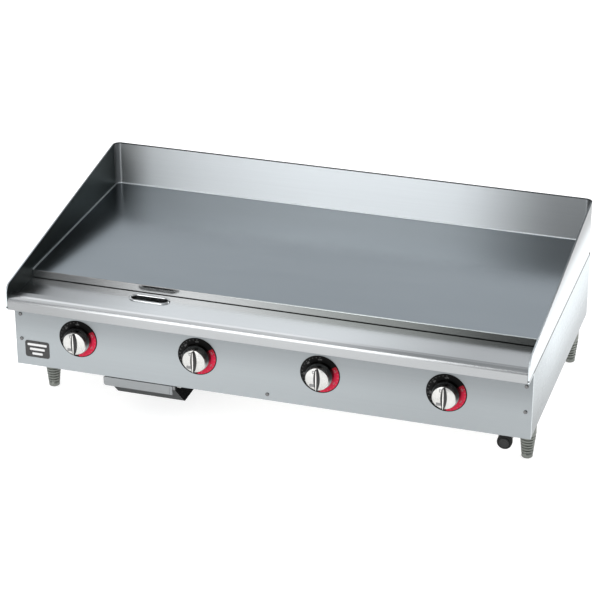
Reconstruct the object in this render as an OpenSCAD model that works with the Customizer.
// Countertop flat top griddle, gas fired, with four thermostat zones.
// Millimetres. +Z up, -Y towards the cook. The origin is on the counter, under the middle of the
// overall box, so the feet stand at z = 0.

/* [Body] */
// Overall width, outside the side panels
body_w = 1219; // [1000:1:1480]
// Depth from the face of the front panel to the back of the back panel
body_d = 648; // [520:1:800]
// Height of the counter clearance under the body, legs and feet together
stand_h = 120; // [100:1:150]
// Height of the front panel that shows, up to the trough's front lip
panel_h = 160; // [130:1:200]
// Thickness of the outer sheet panels
sheet = 1.5; // [1:0.1:2.5]
// Thickness of the folded inner frame sheets
frame_sheet = 2; // [1.5:0.1:3]
// Width of the seam between the side panels and the splash above them
seam_gap = 1; // [0.5:0.1:2]

/* [Griddle plate] */
// Thickness of the ground steel plate
plate_t = 25.4; // [12:0.1:31]
// Height of the cooking surface above the top of the front panel
cook_rise = 36; // [28:1:60]
// Distance from the front panel's face back to the plate's front edge
plate_setback = 100; // [80:1:150]

/* [Splash guard] */
// Thickness of the welded splash plates
splash_t = 4; // [2:0.1:6]
// Height of the rear splash above the cooking surface
splash_rise = 109; // [80:1:140]
// Height of the side splash's front corner above the cooking surface
splash_front_rise = 22; // [15:1:45]
// Outside radius of the rolled rear corners
corner_r = 18; // [10:1:30]
// Radius of the side splash's front corner
splash_nose_r = 24; // [6:1:30]

/* [Grease trough] */
// How far the trough's front lip stands in front of the front panel
lip_reach = 45; // [30:1:60]
// Height of the lip above the trough floor
lip_rise = 13; // [6:1:20]
// Depth of the trough floor below the cooking surface
trough_drop = 19; // [12:1:24]
// Outside radius of the rolled front lip
lip_r = 12; // [6:1:15]
// Width of the flat top of the lip, front to back
lip_land = 26; // [10:1:32]
// Thickness of the trough sheet
trough_t = 2; // [1.5:0.1:3]
// Gap between the trough and the plate's front edge
trough_gap = 3; // [1.5:0.1:5]

/* [Drain] */
// Distance from the left side of the body to the middle of the drain and drawer
drain_edge = 308; // [250:0.5:375]
// Length of the drain opening
drain_l = 87; // [50:1:110]
// Width of the drain opening
drain_w = 24; // [18:1:34]
// Wall thickness of the drain chute
chute_t = 1.5; // [1:0.1:3]
// Radius of the rolled collar round the drain
collar_r = 3; // [2:0.5:7]
// Gap between the drain collar and the trough's rear edge
drain_margin = 14; // [5:0.5:20]

/* [Grease drawer] */
// Outside width of the drawer
drawer_w = 167; // [130:1:210]
// Length of the drawer, front to back
drawer_l = 420; // [250:1:510]
// Height of the drawer
drawer_h = 66; // [40:1:80]
// How far the drawer's front slopes back to its bottom
drawer_slope = 57; // [20:1:70]
// Sheet thickness of the drawer
drawer_t = 1.2; // [0.8:0.1:2]
// Gap between the body and the top of the drawer
drawer_gap = 3; // [2:0.5:6]
// Width of the lips that the drawer hangs from
drawer_lip = 8; // [5:1:12]
// Height of the pull plate
pull_h = 22; // [15:1:30]
// How far the pull plate is set to the left of the drawer
pull_shift = 11; // [0:1:14]

/* [Controls] */
// Distance from the left side of the body to the first knob
knob_edge_left = 155.75; // [125:0.25:190]
// Distance from the last knob to the right side of the body
knob_edge_right = 191.75; // [155:0.25:235]
// Height of the knobs above the bottom of the body
knob_z = 86; // [70:1:105]
// Diameter of the dial plates
dial_d = 93; // [75:1:112]
// Thickness of the dial plates
dial_t = 1.2; // [0.8:0.1:2]
// Diameter of the knob's skirt
knob_d = 66; // [54:1:80]
// Height of the knob's round part
knob_h = 24; // [18:1:30]
// Diameter of the knob's flat face
knob_face_d = 58; // [46:1:70]
// Height of the grip bar above the knob's face
grip_h = 7; // [5:1:16]
// Width of the grip bar
grip_w = 12; // [8:1:16]
// Gap between the knob and the dial plate
knob_gap = 1; // [0.5:0.1:2]
// Diameter of the thermostat shaft
shaft_d = 8; // [6:0.1:10]
// Radial clearance of the shaft in its bores
shaft_clear = 0.05; // [0.02:0.01:0.1]

/* [Legs] */
// Diameter of the leg's straight part
leg_d = 38; // [30:1:46]
// Diameter of the leg at the bottom
leg_end_d = 28; // [22:1:34]
// Height of the leg's straight part
leg_straight_h = 60; // [30:1:80]
// Distance from the side of the body in to the leg's centre
leg_inset_x = 31; // [22:1:60]
// Distance from the front panel back to the front legs
leg_front_y = 132; // [60:1:160]
// Distance from the back panel forward to the rear legs
leg_rear_y = 26; // [24:1:120]
// Height of the foot's flange
foot_h = 12; // [8:1:16]
// Diameter of the foot's flange
foot_d = 26; // [21:1:32]
// Diameter of the foot's threaded stem
stem_d = 14; // [10:1:18]
// Radial clearance of the stem in the leg
stem_clear = 0.05; // [0.02:0.01:0.1]
// How far the foot screws out
foot_travel = 25; // [10:1:35]

/* [Gas train] */
// Outside diameter of the gas pipe
pipe_d = 26.7; // [21:0.1:34]
// Wall thickness of the gas pipe
pipe_t = 2.9; // [2:0.1:4]
// Height of the gas pipe above the bottom of the body
pipe_z = 38; // [30:1:46]
// Distance from the front panel back to the manifold
manifold_y = 34; // [28:1:42]
// Length of pipe that stands out of the back panel
inlet_reach = 30; // [25:1:60]
// Length of the thread on the pipe's rear end
thread_l = 20; // [15:1:24]
// Outside diameter of the burner tubes
burner_d = 25; // [20:1:32]
// Wall thickness of the burner tubes
burner_t = 1.5; // [1:0.1:2.5]
// Height of the burners above the bottom of the body
burner_z = 98; // [80:1:118]
// Distance between the two prongs of a burner
burner_spread = 118; // [90:1:145]

/* [Igniter] */
// Diameter of the igniter's collar
igniter_d = 34.4; // [28:0.1:42]
// Distance of the igniter from the right side of the body
igniter_inset = 62; // [50:1:90]
// Distance from the bottom of the body down to the igniter's centre
igniter_drop = 28; // [22:1:40]
// Distance from the front panel's face back to the igniter's collar
igniter_setback = 18; // [10:1:30]
// Diameter of the push button
button_d = 23; // [18:0.5:28]
// How far the button presses in
button_travel = 3; // [2:0.5:4]

/* [Fasteners] */
// Diameter of the panel screws
screw_d = 4.8; // [4:0.1:6]
// Diameter of the screw heads
screw_head_d = 9; // [7:0.1:12]
// Height of the screw heads
screw_head_h = 2.6; // [2:0.1:4]

/* [Hidden] */
$fn = 48;

zones = 4;
half_w = body_w / 2;
overall_d = lip_reach + body_d + inlet_reach;
// Face of the front panel, and the outside of the back panel
front_y = lip_reach - overall_d / 2;
rear_y = front_y + body_d;
base_z = stand_h;
cook_z = base_z + panel_h + cook_rise;
top_z = cook_z + splash_rise;
plate_under_z = cook_z - plate_t;
floor_z = cook_z - trough_drop;
lip_z = floor_z + lip_rise;
lip_bottom_z = base_z + panel_h;
lip_front_y = front_y - lip_reach;
plate_front_y = front_y + plate_setback;
plate_rear_y = rear_y - splash_t;
inner_x = half_w - splash_t;
// Side panels end here and the splash plates begin one seam above
side_rise = 5;
side_top_z = base_z + panel_h + side_rise;
splash_bottom_z = side_top_z + seam_gap;

// Folded frame channels stand just inside the side panels
frame_gap = 8;
frame_flange = 50;
frame_shelf = 40;
frame_x = half_w - frame_gap;
frame_inner_x = frame_x - frame_flange;
rail_h = 26;
rail_w = 27;

knob_pitch = (body_w - knob_edge_left - knob_edge_right) / (zones - 1);
knob_x0 = knob_edge_left - half_w;
zone_w = body_w / zones;
knob_axis_z = base_z + knob_z;
knob_back_y = front_y - dial_t - knob_gap;
shaft_hole_d = 14;
shaft_grip = 13;
shaft_seat = 30;
flat_depth = 1.5;

thermostat_w = 44;
thermostat_y = 20;
thermostat_l = 52;
pipe_gap = 3;
thermostat_bottom = base_z + pipe_z + pipe_d / 2 + pipe_gap;
thermostat_top = knob_axis_z + 30;
neck_d = 22;
neck_l = 12;
nipple_d = 12;
nipple_clear = 0.1;
nipple_bite = 2.5;
outlet_d = 10;
outlet_hex = 14;
outlet_hex_l = 8;
outlet_l = 22;
jet_d = 2;

drain_x = drain_edge - half_w;
collar_w = drain_w + 2 * collar_r;
trough_rear_y = plate_front_y - trough_gap;
drain_y = trough_rear_y - drain_margin - collar_w / 2;
chute_clear = 0.3;
chute_below = 1;
shield_gap = 2;

drawer_top_z = base_z - drawer_gap;
drawer_bottom_z = drawer_top_z - drawer_h;
drawer_flat = 9;
drawer_setback = 3;
drawer_front_y = front_y + drawer_setback;
drawer_lip_setback = 3;
pull_t = 1.8;
pull_extra = 2;
pull_tab = 7;
pull_groove_w = 0.8;
pull_groove_t = 0.6;
pull_corner_r = 6;
rail_sheet = 1.2;
rail_clear = 0.4;
rail_side_clear = 1;
rail_ledge_gap = 2;
rail_flange = 12;
rail_setback = 5;
rail_over = 4;

wall_gap = 12;
wall_y = plate_front_y + wall_gap;
wall_top_z = plate_under_z - wall_gap;
mixer_d = 34;
mixer_l = 16;
mixer_gap = 2;
mixer_y = front_y + 88;
header_y = front_y + plate_setback + 65;
prong_end_y = rear_y - 60;
slot_w = 2.5;
post_d = 8;
pilot_d = 6;
hood_d = 11;
hood_l = 14;
hood_over = 2;
manifold_over = 45;
supply_inset = 44.5;
supply_x = half_w - supply_inset;
elbow_r = 22;
pipe_clear = 0.7;
thread_depth = 0.2;
thread_d = pipe_d - 2 * thread_depth;

bulb_d = 9.5;
bulb_l = 110;
bulb_y = front_y + 300;
capillary_d = 2.4;
bulb_z = plate_under_z - bulb_d / 2;
capillary_y = front_y + thermostat_y + thermostat_l - 12;

igniter_x = half_w - igniter_inset;
igniter_z = base_z - igniter_drop;
igniter_y = front_y + igniter_setback;
collar_h = 12;
collar_step = 3.7;
barrel_d = igniter_d - 2 * collar_step;
barrel_l = 46;
barrel_clear = 0.2;
bracket_t = 2;
bracket_margin = 0.7;
bracket_w = igniter_d - 2 * bracket_margin;
button_proud = 3;
button_l = 8;
button_clear = 0.3;
button_stem_d = 6;
button_stem_l = 24;
button_stem_clear = 0.05;

stud_d = 9.5;
stud_l = 8;
stud_clear = 0.1;
nut_d = 18;
nut_h = 7;
stem_l = foot_travel + 35;
stem_spare = 2;
foot_edge = 2;
leg_x = half_w - leg_inset_x;
leg_fy = front_y + leg_front_y;
leg_ry = rear_y - leg_rear_y;

screw_edge = 14;
screw_clear = 0.2;
screw_l = 9;
low_screw = 66.4;
high_screw = 30.4;
side_screw_z = [base_z + low_screw, lip_bottom_z - high_screw];
middle_screw = [3, 15];
flange_w = 24;
panel_screws_at = concat(
  [for (s = [-1, 1], z = side_screw_z) [s * (half_w - screw_edge), z]],
  [[middle_screw[0], base_z + middle_screw[1]]]
);

steel = [0.78, 0.80, 0.82];
ground_steel = [0.55, 0.58, 0.61];
inner_steel = [0.66, 0.66, 0.64];
black = [0.08, 0.08, 0.09];

function knob_x(i) = knob_x0 + (i - 1) * knob_pitch;
function zone_x(i) = -half_w + (i - 0.5) * zone_w;

// Outline in the Y-Z plane, extruded from x0 towards +X
module along_x(x0, length) {
  translate([x0, 0, 0]) rotate([90, 0, 90]) linear_extrude(length) children();
}

// Outline in the X-Z plane, from y0 to y0 + depth
module along_y(y0, depth) {
  translate([0, y0 + depth, 0]) rotate([90, 0, 0]) linear_extrude(depth) children();
}

// A block given by its two opposite corners
module block(a, b) {
  translate(a) cube([b[0] - a[0], b[1] - a[1], b[2] - a[2]]);
}

// A round bar along Y
module bar_y(x, y0, z, d, length) {
  translate([x, y0, z]) rotate([-90, 0, 0]) cylinder(d = d, h = length);
}

// A round bar along X
module bar_x(x0, y, z, d, length) {
  translate([x0, y, z]) rotate([0, 90, 0]) cylinder(d = d, h = length);
}

// A slot with round ends, its whole length along X
module stadium(length, width) {
  union() {
    square([length - width, width], center = true);
    for (s = [-1, 1]) translate([s * (length - width) / 2, 0]) circle(d = width);
  }
}

// A quarter of a ring of sheet: corner 0 is +x +y, then anticlockwise
module quarter_ring(at, outer, thick, corner) {
  translate(at) rotate(90 * corner) intersection() {
    difference() {
      circle(r = outer);
      circle(r = outer - thick);
    }
    square(outer + 1);
  }
}

// Points along an arc, from one angle to another
function arc(at, r, from, to, steps = 12) =
  [for (k = [0:steps]) let (a = from + (to - from) * k / steps) [at[0] + r * cos(a), at[1] + r * sin(a)]];

// Round section with one flat
module d_section(d) {
  difference() {
    circle(d = d);
    translate([-d, d / 2 - flat_depth]) square([2 * d, d]);
  }
}

// The heavy cooking plate, with its rear corners rounded to fit inside the rolled splash
module griddle_plate() {
  r = corner_r - splash_t;
  color(ground_steel) translate([0, 0, plate_under_z]) linear_extrude(plate_t) union() {
    translate([-inner_x, plate_front_y]) square([2 * inner_x, plate_rear_y - plate_front_y - r]);
    translate([-inner_x + r, plate_rear_y - r - 1]) square([2 * (inner_x - r), r + 1]);
    for (s = [-1, 1]) translate([s * (inner_x - r), plate_rear_y - r]) circle(r = r);
  }
}

// Rear splash plate with the two rolled corners that meet the side plates
module rear_splash() {
  span = half_w - corner_r;
  color(steel) translate([0, 0, splash_bottom_z]) linear_extrude(top_z - splash_bottom_z) union() {
    translate([-span, rear_y - splash_t]) square([2 * span, splash_t]);
    quarter_ring([span, rear_y - corner_r], corner_r, splash_t, 0);
    quarter_ring([-span, rear_y - corner_r], corner_r, splash_t, 1);
  }
}

// Side splash outline: a slope from the rear corner to the round front corner, then down the
// end of the trough's lip
module side_splash_outline() {
  back = rear_y - corner_r;
  r = splash_nose_r;
  lean = atan2(splash_rise - splash_front_rise, back - lip_front_y);
  // Centre of the front corner's arc, tangent to the front edge and to the slope
  arc_y = lip_front_y + r;
  slope_z = cook_z + splash_front_rise + r * tan(lean);
  arc_z = slope_z - r / cos(lean);
  polygon(concat(
    [[back, top_z], [back, splash_bottom_z], [front_y, splash_bottom_z], [front_y, lip_bottom_z],
     [lip_front_y, lip_bottom_z]],
    arc([arc_y, arc_z], r, 180, 90 + lean)
  ));
}

module left_splash() {
  color(steel) along_x(-half_w, splash_t) side_splash_outline();
}

module right_splash() {
  color(steel) along_x(inner_x, splash_t) side_splash_outline();
}

// Folded section of the trough: underside, front wall, rolled lip, land, floor, rear return
module trough_section() {
  t = trough_t;
  roll_y = lip_front_y + lip_r;
  roll_z = lip_z - lip_r;
  land_y = roll_y + lip_land;
  return_z = floor_z - 4 * t;
  union() {
    translate([lip_front_y, lip_bottom_z]) square([lip_reach + sheet, t]);
    translate([lip_front_y, lip_bottom_z]) square([t, roll_z - lip_bottom_z]);
    quarter_ring([roll_y, roll_z], lip_r, t, 1);
    translate([roll_y, lip_z - t]) square([lip_land, t]);
    translate([land_y - t, floor_z - t]) square([t, lip_rise + t]);
    translate([land_y - t, floor_z - t]) square([trough_rear_y - land_y + t, t]);
    translate([trough_rear_y - t, return_z]) square([t, floor_z - return_z]);
  }
}

module grease_trough() {
  hole_l = drain_l + 2 * (chute_t + chute_clear);
  hole_w = drain_w + 2 * (chute_t + chute_clear);
  color(steel) difference() {
    along_x(-inner_x, 2 * inner_x) trough_section();
    translate([drain_x, drain_y, floor_z - 2 * trough_t])
      linear_extrude(3 * trough_t) stadium(hole_l, hole_w);
  }
}

// Drain chute: a flattened tube hanging from its rolled collar in the trough floor
module drain_chute() {
  mouth_l = drain_l + 2 * chute_t;
  mouth_w = drain_w + 2 * chute_t;
  bottom_z = base_z - chute_below;
  end_x = (drain_l - drain_w) / 2;
  roll_at = drain_w / 2 + collar_r;
  color(steel) translate([drain_x, drain_y, 0]) union() {
    translate([0, 0, bottom_z]) linear_extrude(floor_z - bottom_z) difference() {
      stadium(mouth_l, mouth_w);
      stadium(drain_l, drain_w);
    }
    for (s = [-1, 1]) {
      translate([s * end_x, 0, floor_z]) rotate([0, 0, s * 90 - 180]) rotate_extrude(angle = 180)
        translate([roll_at, 0]) collar_roll();
      along_x_here(end_x, s * roll_at) collar_roll();
    }
  }
}

// Half round section of the collar, flat side down
module collar_roll() {
  intersection() {
    circle(r = collar_r);
    translate([-collar_r, 0]) square([2 * collar_r, collar_r]);
  }
}

// A straight run of the collar on the trough floor, centred on x = 0
module along_x_here(half_length, y) {
  translate([-half_length, y, floor_z]) rotate([90, 0, 90]) linear_extrude(2 * half_length) children();
}

module screw_holes(y0, depth) {
  for (p = panel_screws_at) bar_y(p[0], y0, p[1], screw_d + 2 * screw_clear, depth);
}

// Flat front panel with the holes for the four shafts and the screws
module front_panel() {
  color(steel) difference() {
    block([-half_w, front_y, base_z], [half_w, front_y + sheet, lip_bottom_z]);
    for (i = [1:zones]) bar_y(knob_x(i), front_y - 1, knob_axis_z, shaft_hole_d, sheet + 2);
    screw_holes(front_y - 1, sheet + 2);
  }
}

// Side panel with a flange behind the front panel and one in front of the back panel
module side_panel(side) {
  fy = front_y + sheet;
  by = rear_y - sheet;
  outer = side * half_w;
  skin = side * (half_w - sheet);
  lip = side * (half_w - flange_w);
  color(steel) difference() {
    union() {
      block([min(outer, skin), fy, base_z], [max(outer, skin), by, side_top_z]);
      block([min(outer, lip), fy, base_z], [max(outer, lip), fy + sheet, lip_bottom_z]);
      block([min(outer, lip), by - sheet, base_z], [max(outer, lip), by, side_top_z]);
    }
    screw_holes(fy - 1, sheet + 2);
  }
}

module left_side_panel() { side_panel(-1); }
module right_side_panel() { side_panel(1); }

// Folded channel that carries the plate and takes the leg studs in weld nuts
module side_frame(side) {
  fy = front_y + 2 * sheet;
  by = rear_y - 2 * sheet;
  // The part beside the plate ends where the splash's rolled corner begins
  corner_y = rear_y - corner_r;
  t = frame_sheet;
  web = [side * (frame_x - t), side * frame_x];
  foot = [side * frame_inner_x, side * frame_x];
  shelf_in = side * (frame_x - frame_shelf);
  shelf = [shelf_in, side * frame_x];
  color(inner_steel) difference() {
    union() {
      block([min(web), fy, base_z], [max(web), by, side_top_z - frame_gap]);
      block([min(web), plate_front_y, base_z], [max(web), corner_y, plate_under_z]);
      block([min(foot), fy, base_z], [max(foot), by, base_z + t]);
      block([min(shelf), plate_front_y, plate_under_z - t],
            [max(shelf), corner_y, plate_under_z]);
      for (y = [leg_fy, leg_ry]) translate([side * leg_x, y, base_z + t]) cylinder(d = nut_d, h = nut_h);
    }
    for (y = [leg_fy, leg_ry]) translate([side * leg_x, y, base_z - 1])
      cylinder(d = stud_d + 2 * stud_clear, h = t + nut_h + 2);
  }
}

module left_frame() { side_frame(-1); }
module right_frame() { side_frame(1); }

// Back panel with rows of flue slots under the splash and a hole for the gas pipe
module back_panel() {
  slot_l = 70;
  slot_h = 7;
  rows = 3;
  row_step = 14;
  per_zone = 3;
  slot_step = 84;
  color(steel) difference() {
    block([-half_w, rear_y - sheet, base_z], [half_w, rear_y, side_top_z]);
    for (i = [1:zones], k = [0:rows - 1], j = [-1:per_zone - 2])
      translate([zone_x(i) + j * slot_step, rear_y - sheet - 1, side_top_z - 20 - k * row_step])
        rotate([-90, 0, 0]) linear_extrude(sheet + 2) stadium(slot_l, slot_h);
    bar_y(supply_x, rear_y - sheet - 1, base_z + pipe_z, pipe_d + 2 * pipe_clear, sheet + 2);
  }
}

// Angle rail across the bottom, behind the front panel
module front_rail() {
  fy = front_y + sheet;
  color(inner_steel) difference() {
    union() {
      block([-frame_inner_x, fy, base_z], [frame_inner_x, fy + frame_sheet, base_z + rail_h]);
      block([-frame_inner_x, fy, base_z], [frame_inner_x, fy + rail_w, base_z + frame_sheet]);
    }
    screw_holes(fy - 1, frame_sheet + 2);
  }
}

// Angle rail across the bottom, in front of the back panel
module rear_rail() {
  by = rear_y - sheet;
  color(inner_steel) union() {
    block([-frame_inner_x, by - frame_sheet, base_z], [frame_inner_x, by, base_z + rail_h]);
    block([-frame_inner_x, by - rail_w, base_z], [frame_inner_x, by, base_z + frame_sheet]);
  }
}

// Upright sheet between the burners and the controls
module fire_wall() {
  reach = frame_x - frame_sheet;
  gap_z = base_z + frame_sheet + nut_h;
  color(inner_steel) difference() {
    block([-reach, wall_y, gap_z], [reach, wall_y + sheet, wall_top_z]);
    for (i = [1:zones])
      bar_y(knob_x(i), wall_y - 1, base_z + burner_z, mixer_d + 2 * mixer_gap, sheet + 2);
    bar_y(supply_x, wall_y - 1, base_z + pipe_z, pipe_d + 2 * pipe_clear, sheet + 2);
  }
}

// Bottom sheet with air slots, and an opening for the drain chute
module bottom_shield() {
  y0 = front_y + sheet + rail_w;
  y1 = rear_y - sheet - rail_w;
  air_l = 160;
  air_w = 8;
  air_rows = 5;
  air_step = 60;
  air_y0 = wall_y + 90;
  air_squeeze = 0.87;
  hole_l = drain_l + 2 * (chute_t + shield_gap);
  hole_w = drain_w + 2 * (chute_t + shield_gap);
  color(inner_steel) difference() {
    block([-frame_inner_x, y0, base_z], [frame_inner_x, y1, base_z + sheet]);
    translate([drain_x, drain_y, base_z - 1]) linear_extrude(sheet + 2) stadium(hole_l, hole_w);
    for (i = [1:zones], k = [0:air_rows - 1])
      translate([zone_x(i) * air_squeeze, air_y0 + k * air_step, base_z - 1])
        linear_extrude(sheet + 2) stadium(air_l, air_w);
  }
}

// Two-pronged tube burner: mixer bell, cross header and two slotted prongs on a rear post each
module burner(i) {
  z = base_z + burner_z;
  half = burner_spread / 2;
  bore = burner_d - 2 * burner_t;
  cone_y = mixer_y + mixer_l;
  cone_l = 12;
  prong_l = prong_end_y - header_y;
  header_x = min(knob_x(i), zone_x(i) - half) - burner_d / 2;
  header_l = max(knob_x(i), zone_x(i) + half) + burner_d / 2 - header_x;
  color(inner_steel) difference() {
    union() {
      bar_y(knob_x(i), mixer_y, z, mixer_d, mixer_l);
      translate([knob_x(i), cone_y, z]) rotate([-90, 0, 0])
        cylinder(d1 = mixer_d, d2 = burner_d, h = cone_l);
      bar_y(knob_x(i), cone_y + cone_l, z, burner_d, header_y - cone_y - cone_l);
      bar_x(header_x, header_y, z, burner_d, header_l);
      for (s = [-1, 1]) {
        bar_y(zone_x(i) + s * half, header_y, z, burner_d, prong_l);
        translate([zone_x(i) + s * half, prong_end_y - 2 * post_d, base_z + sheet])
          cylinder(d = post_d, h = burner_z - sheet - bore / 2 - burner_t / 2);
      }
    }
    bar_y(knob_x(i), mixer_y - 1, z, mixer_d - 2 * burner_t, mixer_l + 1);
    translate([knob_x(i), cone_y, z]) rotate([-90, 0, 0])
      cylinder(d1 = mixer_d - 2 * burner_t, d2 = bore, h = cone_l);
    bar_y(knob_x(i), cone_y + cone_l, z, bore, header_y - cone_y - cone_l);
    bar_x(header_x + burner_t, header_y, z, bore, header_l - 2 * burner_t);
    for (s = [-1, 1]) {
      bar_y(zone_x(i) + s * half, header_y, z, bore, prong_l - burner_t);
      block([zone_x(i) + s * half - slot_w / 2, header_y + burner_d, z],
            [zone_x(i) + s * half + slot_w / 2, prong_end_y - burner_d, z + burner_d]);
    }
  }
}

module burner_1() { burner(1); }
module burner_2() { burner(2); }
module burner_3() { burner(3); }
module burner_4() { burner(4); }

// Brass jets, one screwed into the back of each thermostat and pointing into its mixer
module burner_orifices() {
  y0 = front_y + thermostat_y + thermostat_l;
  color("goldenrod") for (i = [1:zones]) difference() {
    union() {
      translate([knob_x(i), y0, base_z + burner_z]) rotate([-90, 0, 0])
        cylinder(d = outlet_hex, h = outlet_hex_l, $fn = 6);
      bar_y(knob_x(i), y0, base_z + burner_z, outlet_d, outlet_l);
    }
    bar_y(knob_x(i), y0 - 1, base_z + burner_z, jet_d, outlet_l + 2);
  }
}

// Pilots: a hooded tube standing on the bottom sheet beside each mixer
module pilot_burners() {
  pilot_h = burner_z - hood_l;
  color(inner_steel) for (i = [1:zones])
    translate([knob_x(i) + mixer_d, header_y - burner_d - hood_d, base_z + sheet]) union() {
      cylinder(d = pilot_d, h = pilot_h);
      translate([0, 0, pilot_h - hood_l + hood_over]) cylinder(d = hood_d, h = hood_l);
    }
}

// Manifold pipe with a drilled seat for each thermostat's inlet
module gas_manifold() {
  x0 = knob_x(1) - manifold_over;
  x1 = supply_x - elbow_r;
  z = base_z + pipe_z;
  color(inner_steel) difference() {
    bar_x(x0, front_y + manifold_y, z, pipe_d, x1 - x0);
    bar_x(x0 + pipe_t, front_y + manifold_y, z, pipe_d - 2 * pipe_t, x1 - x0);
    for (i = [1:zones]) translate([knob_x(i), front_y + manifold_y, z])
      cylinder(d = nipple_d + 2 * nipple_clear, h = pipe_d);
  }
}

// Supply pipe: an elbow off the manifold, then straight back through the back panel
module gas_supply_pipe() {
  y1 = front_y + manifold_y + elbow_r;
  inlet_y = rear_y + inlet_reach;
  z = base_z + pipe_z;
  color(inner_steel) union() {
    translate([supply_x - elbow_r, y1, z]) rotate([0, 0, -90]) rotate_extrude(angle = 90)
      translate([elbow_r, 0]) difference() {
        circle(d = pipe_d);
        circle(d = pipe_d - 2 * pipe_t);
      }
    difference() {
      union() {
        bar_y(supply_x, y1, z, pipe_d, inlet_y - thread_l - y1);
        bar_y(supply_x, inlet_y - thread_l, z, thread_d, thread_l);
      }
      bar_y(supply_x, y1 - 1, z, pipe_d - 2 * pipe_t, inlet_y - y1 + 2);
    }
  }
}

// Gas thermostat: cast body, front neck with the shaft bore, inlet nipple and rear outlet
module thermostat(i) {
  y0 = front_y + thermostat_y;
  x = knob_x(i);
  seat_l = neck_l + shaft_seat;
  body_h = thermostat_top - thermostat_bottom;
  nipple_h = thermostat_bottom - base_z - pipe_z - pipe_d / 2 + nipple_bite;
  color([0.72, 0.72, 0.70]) difference() {
    union() {
      block([x - thermostat_w / 2, y0, thermostat_bottom],
            [x + thermostat_w / 2, y0 + thermostat_l, thermostat_top]);
      bar_y(x, y0 - neck_l, knob_axis_z, neck_d, neck_l);
      translate([x, front_y + manifold_y, thermostat_bottom - nipple_h])
        cylinder(d = nipple_d, h = nipple_h);
    }
    bar_y(x, y0 - neck_l - 1, knob_axis_z, shaft_d + 2 * shaft_clear, seat_l + 1);
  }
}

module thermostat_1() { thermostat(1); }
module thermostat_2() { thermostat(2); }
module thermostat_3() { thermostat(3); }
module thermostat_4() { thermostat(4); }

// Thermostat shaft: round where it turns in the neck, flatted where the knob grips it
module thermostat_shaft(i) {
  tip_y = knob_back_y - shaft_grip;
  round_y = front_y + thermostat_y - neck_l;
  end_y = round_y + neck_l + shaft_seat - 1;
  flat_z = shaft_d / 2 - flat_depth;
  color([0.75, 0.75, 0.75]) translate([knob_x(i), 0, knob_axis_z]) difference() {
    bar_y(0, tip_y, 0, shaft_d, end_y - tip_y);
    block([-shaft_d, tip_y - 1, flat_z], [shaft_d, round_y, shaft_d]);
  }
}

module thermostat_shaft_1() { thermostat_shaft(1); }
module thermostat_shaft_2() { thermostat_shaft(2); }
module thermostat_shaft_3() { thermostat_shaft(3); }
module thermostat_shaft_4() { thermostat_shaft(4); }

// Sensing bulb under the plate with its capillary tube down to the thermostat
module sensing_bulb(i) {
  x = knob_x(i);
  color([0.72, 0.45, 0.30]) union() {
    bar_y(x, bulb_y, bulb_z, bulb_d, bulb_l);
    bar_y(x, capillary_y, bulb_z, capillary_d, bulb_y - capillary_y);
    translate([x, capillary_y, bulb_z]) sphere(d = capillary_d);
    translate([x, capillary_y, thermostat_top]) cylinder(d = capillary_d, h = bulb_z - thermostat_top);
  }
}

module sensing_bulb_1() { sensing_bulb(1); }
module sensing_bulb_2() { sensing_bulb(2); }
module sensing_bulb_3() { sensing_bulb(3); }
module sensing_bulb_4() { sensing_bulb(4); }

// Printed dial plate, fixed to the front panel
module dial_plate(i) {
  color(black) difference() {
    bar_y(knob_x(i), front_y - dial_t, knob_axis_z, dial_d, dial_t);
    bar_y(knob_x(i), front_y - dial_t - 1, knob_axis_z, shaft_hole_d, dial_t + 2);
  }
}

module dial_plate_1() { dial_plate(1); }
module dial_plate_2() { dial_plate(2); }
module dial_plate_3() { dial_plate(3); }
module dial_plate_4() { dial_plate(4); }

// Cast knob: a tapered round body with a grip bar across its face and a flatted bore
module knob(i) {
  skirt = knob_d / 2;
  skirt_h = 2;
  edge = 2;
  face = knob_face_d / 2 + edge;
  grip_lean = 3;
  grip_l = 2 * (face - edge);
  color([0.85, 0.85, 0.86]) translate([knob_x(i), knob_back_y, knob_axis_z]) rotate([90, 0, 0])
    difference() {
      union() {
        rotate_extrude() polygon([
          [0, 0], [skirt, 0], [skirt, skirt_h], [face, knob_h - edge], [face - edge, knob_h], [0, knob_h]
        ]);
        intersection() {
          translate([-grip_w / 2, -grip_l / 2, knob_h - edge]) cube([grip_w, grip_l, grip_h + edge]);
          cylinder(r1 = face + 2 * grip_lean, r2 = face - 2 * grip_lean, h = knob_h + grip_h);
        }
      }
      translate([0, 0, -1]) linear_extrude(shaft_grip + 1.5) d_section(shaft_d + 2 * shaft_clear);
    }
}

module knob_1() { knob(1); }
module knob_2() { knob(2); }
module knob_3() { knob(3); }
module knob_4() { knob(4); }

// Folded bracket that hangs the igniter from the front rail
module igniter_bracket() {
  plate_y = igniter_y + collar_h;
  shelf_y = front_y + sheet + 4;
  color(inner_steel) difference() {
    union() {
      bar_y(igniter_x, plate_y, igniter_z, bracket_w, bracket_t);
      block([igniter_x - bracket_w / 2, plate_y, igniter_z],
            [igniter_x + bracket_w / 2, plate_y + bracket_t, base_z]);
      block([igniter_x - bracket_w / 2, shelf_y, base_z - bracket_t],
            [igniter_x + bracket_w / 2, plate_y, base_z]);
    }
    bar_y(igniter_x, plate_y - 1, igniter_z, barrel_d + 2 * barrel_clear, bracket_t + 2);
  }
}

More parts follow.
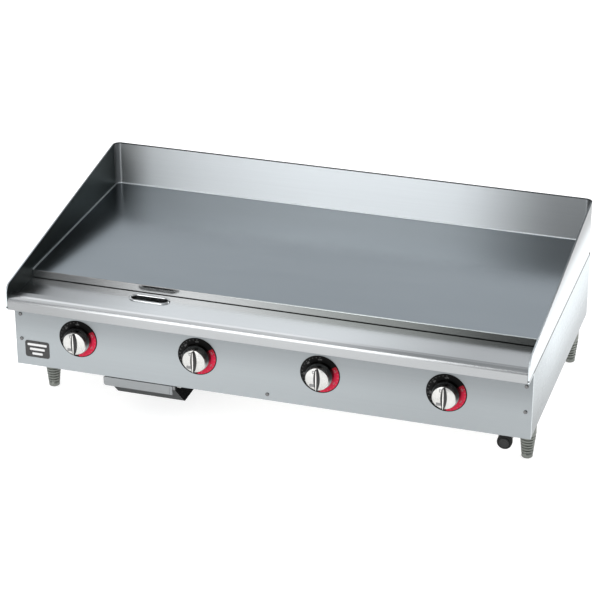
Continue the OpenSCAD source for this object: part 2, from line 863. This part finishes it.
// Igniter body: a black collar in front of the bracket and a barrel behind it
module igniter_body() {
  color(black) difference() {
    union() {
      bar_y(igniter_x, igniter_y, igniter_z, igniter_d, collar_h);
      bar_y(igniter_x, igniter_y, igniter_z, barrel_d, collar_h + barrel_l);
    }
    bar_y(igniter_x, igniter_y - 1, igniter_z, button_d + 2 * button_clear,
          1 + button_l - button_proud + button_travel + 1);
    bar_y(igniter_x, igniter_y, igniter_z, button_stem_d + 2 * button_stem_clear,
          button_l - button_proud + button_stem_l + button_travel + 2);
  }
}

// Push button with its guide stem
module igniter_button() {
  y0 = igniter_y - button_proud;
  color(black) union() {
    bar_y(igniter_x, y0, igniter_z, button_d, button_l);
    bar_y(igniter_x, y0, igniter_z, button_stem_d, button_l + button_stem_l);
  }
}

// Cast leg: a straight upper part, a taper, a stud on top and a bore for the foot
module leg(sx, y) {
  straight_z = base_z - leg_straight_h;
  color([0.70, 0.69, 0.64]) translate([sx * leg_x, y, 0]) difference() {
    union() {
      translate([0, 0, straight_z]) cylinder(d = leg_d, h = leg_straight_h);
      translate([0, 0, foot_h]) cylinder(d1 = leg_end_d, d2 = leg_d, h = straight_z - foot_h);
      translate([0, 0, base_z]) cylinder(d = stud_d, h = stud_l);
    }
    translate([0, 0, foot_h - 1]) cylinder(d = stem_d + 2 * stem_clear, h = 1 + stem_l + stem_spare);
  }
}

module front_left_leg() { leg(-1, leg_fy); }
module front_right_leg() { leg(1, leg_fy); }
module rear_left_leg() { leg(-1, leg_ry); }
module rear_right_leg() { leg(1, leg_ry); }

// Adjustable foot: a flange with eased edges on a stem that screws into the leg
module foot(sx, y) {
  r = foot_d / 2;
  color([0.70, 0.69, 0.64]) translate([sx * leg_x, y, 0]) union() {
    rotate_extrude() polygon([
      [0, 0], [r - foot_edge, 0], [r, foot_edge], [r, foot_h - foot_edge], [r - foot_edge, foot_h],
      [0, foot_h]
    ]);
    cylinder(d = stem_d, h = foot_h + stem_l);
  }
}

module front_left_foot() { foot(-1, leg_fy); }
module front_right_foot() { foot(1, leg_fy); }
module rear_left_foot() { foot(-1, leg_ry); }
module rear_right_foot() { foot(1, leg_ry); }

// Side outline of the drawer, shrunk by an inset for its hollow
module drawer_outline(inset) {
  y0 = drawer_front_y;
  y1 = y0 + drawer_l;
  shoulder_z = drawer_top_z - drawer_flat;
  lean = atan2(drawer_slope, shoulder_z - drawer_bottom_z);
  polygon([
    [y0 + inset, drawer_top_z + inset], [y0 + inset, shoulder_z + inset * tan(lean / 2)],
    [y0 + drawer_slope + inset * tan(45 - lean / 2), drawer_bottom_z + inset],
    [y1 - inset, drawer_bottom_z + inset],
    [y1 - inset, drawer_top_z + inset]
  ]);
}

// Grease drawer: an open tray with a sloping front, hung from a lip along each side
module grease_drawer() {
  half = drawer_w / 2;
  lip_top = drawer_top_z;
  y1 = drawer_front_y + drawer_l;
  color(steel) difference() {
    union() {
      along_x(drain_x - half, drawer_w) drawer_outline(0);
      block([drain_x - half - drawer_lip, drawer_front_y + drawer_lip_setback, lip_top - drawer_t],
            [drain_x + half + drawer_lip, y1, lip_top]);
    }
    along_x(drain_x - half + drawer_t, drawer_w - 2 * drawer_t) drawer_outline(drawer_t);
  }
}

// Pull plate in front of the drawer, with a return at its right end
module drawer_pull() {
  left = drain_x - drawer_w / 2 - pull_shift;
  right = left + drawer_w + pull_extra;
  y0 = drawer_front_y - pull_t;
  round_r = pull_corner_r;
  bottom = drawer_top_z - pull_h;
  color(steel) difference() {
    along_y(y0, pull_t) union() {
      translate([left + round_r, bottom]) square([right - left - round_r, pull_h]);
      translate([left, bottom + round_r]) square([round_r, pull_h - round_r]);
      translate([left + round_r, bottom + round_r]) circle(r = round_r);
    }
    block([right - pull_tab, y0 - 1, bottom - 1],
          [right - pull_tab + pull_groove_w, y0 + pull_groove_t, drawer_top_z + 1]);
  }
}

// Hanging rail: top flange against the body, web outside the drawer's lip, ledge under it
module drawer_rail(side) {
  half = drawer_w / 2;
  web_in = half + drawer_lip + rail_side_clear;
  web_out = web_in + rail_sheet;
  ledge_top = drawer_top_z - drawer_t - rail_clear;
  ledge_in = half + rail_ledge_gap;
  y0 = front_y + sheet + rail_setback;
  y1 = drawer_front_y + drawer_l + rail_over;
  color(inner_steel) union() {
    slab(side, web_in, web_out, y0, y1, ledge_top - rail_sheet, base_z);
    slab(side, ledge_in, web_out, y0, y1, ledge_top - rail_sheet, ledge_top);
    slab(side, web_in, web_out + rail_flange, y0, y1, base_z - rail_sheet, base_z);
  }
}

// A block on either side of the drain's centre line, from a near to a far distance
module slab(side, near, far, y0, y1, z0, z1) {
  a = drain_x + side * near;
  b = drain_x + side * far;
  block([min(a, b), y0, z0], [max(a, b), y1, z1]);
}

module left_drawer_rail() { drawer_rail(-1); }
module right_drawer_rail() { drawer_rail(1); }

// Pan head screws of the front panel
module panel_screws() {
  color([0.80, 0.80, 0.80]) for (p = panel_screws_at) union() {
    bar_y(p[0], front_y - screw_head_h, p[1], screw_head_d, screw_head_h);
    bar_y(p[0], front_y - screw_head_h, p[1], screw_d, screw_head_h + screw_l);
  }
}

griddle_plate();
rear_splash();
left_splash();
right_splash();
grease_trough();
drain_chute();
front_panel();
left_side_panel();
right_side_panel();
left_frame();
right_frame();
back_panel();
front_rail();
rear_rail();
fire_wall();
bottom_shield();
burner_1();
burner_2();
burner_3();
burner_4();
burner_orifices();
pilot_burners();
gas_manifold();
gas_supply_pipe();
thermostat_1();
thermostat_2();
thermostat_3();
thermostat_4();
thermostat_shaft_1();
thermostat_shaft_2();
thermostat_shaft_3();
thermostat_shaft_4();
sensing_bulb_1();
sensing_bulb_2();
sensing_bulb_3();
sensing_bulb_4();
dial_plate_1();
dial_plate_2();
dial_plate_3();
dial_plate_4();
knob_1();
knob_2();
knob_3();
knob_4();
igniter_bracket();
igniter_body();
igniter_button();
front_left_leg();
front_right_leg();
rear_left_leg();
rear_right_leg();
front_left_foot();
front_right_foot();
rear_left_foot();
rear_right_foot();
grease_drawer();
drawer_pull();
left_drawer_rail();
right_drawer_rail();
panel_screws();
